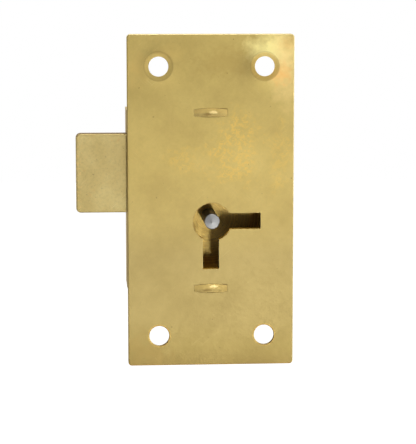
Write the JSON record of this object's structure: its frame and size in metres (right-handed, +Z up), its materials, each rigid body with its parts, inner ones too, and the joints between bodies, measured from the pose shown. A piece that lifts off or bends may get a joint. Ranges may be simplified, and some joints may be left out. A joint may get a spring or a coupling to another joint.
{
  "type": "cabinet lock",
  "caption": "Straight cabinet lock: flat screw-on plate with an L-shaped keyhole round a drill pin, a shallow case behind it with sprung levers, and a flat bolt that slides out sideways.",
  "frame": {"origin": "on the key pin's axis, at the front face of the lock plate, which lies against the door", "axes": "+X from the thrown bolt's end towards the case, +Y from the door's side of the plate into the case, +Z up along the plate"},
  "size_m": [0.0418, 0.011, 0.064],
  "materials": {
    "brass_plate": "satin, lightly scratched",
    "brass_case": "dull, tarnished",
    "brass_bolt": "satin, fine-grained",
    "brass_lever": "satin",
    "steel_pin": "satin",
    "spring_bronze": "satin"
  },
  "bodies": {
    "lock_body": {"lock_plate": "brass_plate", "case_cover": "brass_case", "key_pin": "steel_pin", "lever_post": "steel_pin", "bolt_guide_post": "steel_pin", "lever_bush": "brass_lever"},
    "bolt": {"bolt": "brass_bolt", "bolt_stump": "steel_pin"},
    "lever_1": {"lever_1": "brass_lever", "lever_spring_1": "spring_bronze"},
    "lever_2": {"lever_2": "brass_lever", "lever_spring_2": "spring_bronze"},
    "lever_3": {"lever_3": "brass_lever", "lever_spring_3": "spring_bronze"},
    "lever_4": {"lever_4": "brass_lever", "lever_spring_4": "spring_bronze"}
  },
  "joints": [
    {"name": "bolt_slide", "type": "slide", "parent": "lock_body", "child": "bolt", "axis": [1, 0, 0], "range_m": [0, 0.0098]},
    {"name": "lever_1_pivot", "type": "hinge", "parent": "lock_body", "child": "lever_1", "pos_m": [0.01184, 0.00517, 0.0032], "axis": [0, 1, 0], "range_deg": [-4, 1.2], "stiffness_Nm_per_rad": 0.02, "springref_deg": -22.92, "deforming": ["lever_spring_1"]},
    {"name": "lever_2_pivot", "type": "hinge", "parent": "lock_body", "child": "lever_2", "pos_m": [0.01184, 0.00628, 0.0032], "axis": [0, 1, 0], "range_deg": [-5.4, 1.2], "stiffness_Nm_per_rad": 0.02, "springref_deg": -22.92, "deforming": ["lever_spring_2"]},
    {"name": "lever_3_pivot", "type": "hinge", "parent": "lock_body", "child": "lever_3", "pos_m": [0.01184, 0.00737, 0.0032], "axis": [0, 1, 0], "range_deg": [-3.2, 1.2], "stiffness_Nm_per_rad": 0.02, "springref_deg": -22.92, "deforming": ["lever_spring_3"]},
    {"name": "lever_4_pivot", "type": "hinge", "parent": "lock_body", "child": "lever_4", "pos_m": [0.01184, 0.00847, 0.0032], "axis": [0, 1, 0], "range_deg": [-4.7, 1.2], "stiffness_Nm_per_rad": 0.02, "springref_deg": -22.92, "deforming": ["lever_spring_4"]}
  ]
}
